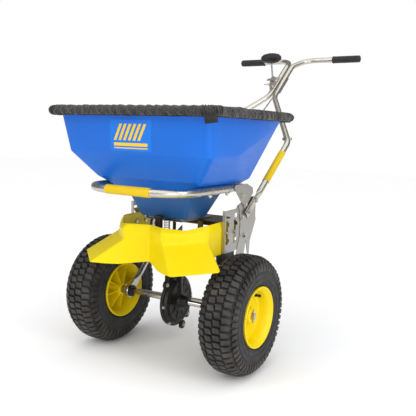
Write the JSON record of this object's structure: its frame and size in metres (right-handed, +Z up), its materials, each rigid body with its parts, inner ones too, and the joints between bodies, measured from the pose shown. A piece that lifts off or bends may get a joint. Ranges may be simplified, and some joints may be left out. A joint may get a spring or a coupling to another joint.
{
  "type": "walk-behind broadcast spreader",
  "caption": "Garden spreader: covered blue hopper on a steel tube frame with a push handle, geared rotor, sliding gate, yellow shield and fat tyres.",
  "frame": {"origin": "on the ground, at the middle of the whole machine's width and length", "axes": "+Z up, +Y to the rear where the operator walks, +X to the machine's driven wheel"},
  "size_m": [0.5808, 1.0924, 0.9596],
  "materials": {
    "hopper blue": "glossy, lightly moulded",
    "cover fabric": "coated woven cover",
    "stainless tube": "satin",
    "stainless sheet": "brushed sheet",
    "deck steel": "satin",
    "zinc plate": "zinc plated",
    "moulded yellow": "semi-gloss",
    "black nylon": "matt moulded",
    "white nylon": "matt moulded",
    "grip rubber": "matt",
    "tyre rubber": "matt",
    "black steel": "satin"
  },
  "bodies": {
    "chassis": {"hopper": "hopper blue", "base_plate": "deck steel", "gate_guide": "stainless sheet", "hoop_tube": "stainless tube", "hoop_sleeve": "moulded yellow", "side_plate_left": "stainless sheet", "side_plate_right": "stainless sheet", "leg_plate_left": "stainless sheet", "leg_plate_right": "stainless sheet", "gusset_left": "stainless sheet", "gusset_right": "stainless sheet", "leg_strut_left": "stainless tube", "leg_strut_right": "stainless tube", "axle_bush_left": "black nylon", "axle_bush_right": "black nylon", "rear_stand": "stainless tube", "handle_tube_left": "stainless tube", "handle_tube_right": "stainless tube", "handle_bolt_left": "zinc plate", "handle_bolt_right": "zinc plate", "handle_sleeve_left": "moulded yellow", "handle_sleeve_right": "moulded yellow", "grip_left": "grip rubber", "grip_right": "grip rubber", "lever_bracket": "stainless sheet", "lever_pivot": "zinc plate", "stop_screw": "zinc plate", "clamp_plate": "stainless sheet", "gearbox_case_left": "black nylon", "gearbox_case_right": "black nylon", "gearbox_stay": "stainless sheet", "side_flap_left": "black nylon", "side_flap_right": "black nylon"},
    "cover": {"hopper_cover": "cover fabric"},
    "driven_axle": {"axle": "stainless tube", "crown_gear": "white nylon", "drive_pin": "zinc plate", "retaining_pin": "zinc plate", "axle_collar_left": "zinc plate", "axle_collar_right": "zinc plate", "rim_right": "moulded yellow", "tyre_right": "tyre rubber", "valve_stem_right": "black nylon"},
    "free_wheel": {"rim_left": "moulded yellow", "tyre_left": "tyre rubber", "valve_stem_left": "black nylon"},
    "rotor": {"rotor_shaft": "black steel", "pinion": "zinc plate", "impeller": "black nylon", "agitator": "zinc plate"},
    "lever": {"control_lever": "stainless sheet", "lever_knob": "black nylon", "rod_pin": "zinc plate"},
    "link": {"control_rod": "stainless tube"},
    "gate_slide": {"gate": "stainless sheet"},
    "spread_shield": {"deflector": "moulded yellow", "height_bolt_front_left": "zinc plate", "height_bolt_front_right": "zinc plate", "height_bolt_rear_left": "zinc plate", "height_bolt_rear_right": "zinc plate"}
  },
  "joints": [
    {"name": "cover_lift", "type": "slide", "parent": "chassis", "child": "cover", "axis": [0, 0, 1], "range_m": [0, 0.15]},
    {"name": "axle_spin", "type": "hinge", "parent": "chassis", "child": "driven_axle", "pos_m": [0, -0.30375, 0.165], "axis": [1, 0, 0], "continuous": true},
    {"name": "free_wheel_spin", "type": "hinge", "parent": "chassis", "child": "free_wheel", "pos_m": [0, -0.30375, 0.165], "axis": [1, 0, 0], "continuous": true},
    {"name": "rotor_spin", "type": "hinge", "parent": "chassis", "child": "rotor", "pos_m": [0, -0.30375, 0.3], "axis": [0, 0, 1], "continuous": true},
    {"name": "lever_swing", "type": "hinge", "parent": "chassis", "child": "lever", "pos_m": [-0.028, 0.37375, 0.8401], "axis": [1, 0, 0], "range_deg": [0, 34]},
    {"name": "link_swing", "type": "hinge", "parent": "lever", "child": "link", "pos_m": [-0.0325, 0.39835, 0.8048], "axis": [1, 0, 0], "range_deg": [-32, 0]},
    {"name": "gate_travel", "type": "slide", "parent": "chassis", "child": "gate_slide", "axis": [0, 1, 0], "range_m": [0, 0.03]},
    {"name": "shield_height", "type": "slide", "parent": "chassis", "child": "spread_shield", "axis": [0, 0, 1], "range_m": [0, 0.0225]}
  ],
  "couplings": [
    {"joint": "rotor_spin", "follows": "axle_spin", "ratio": -4},
    {"joint": "link_swing", "follows": "lever_swing", "ratio": -0.9385},
    {"joint": "gate_travel", "follows": "lever_swing", "m_per_rad": 0.0505}
  ]
}
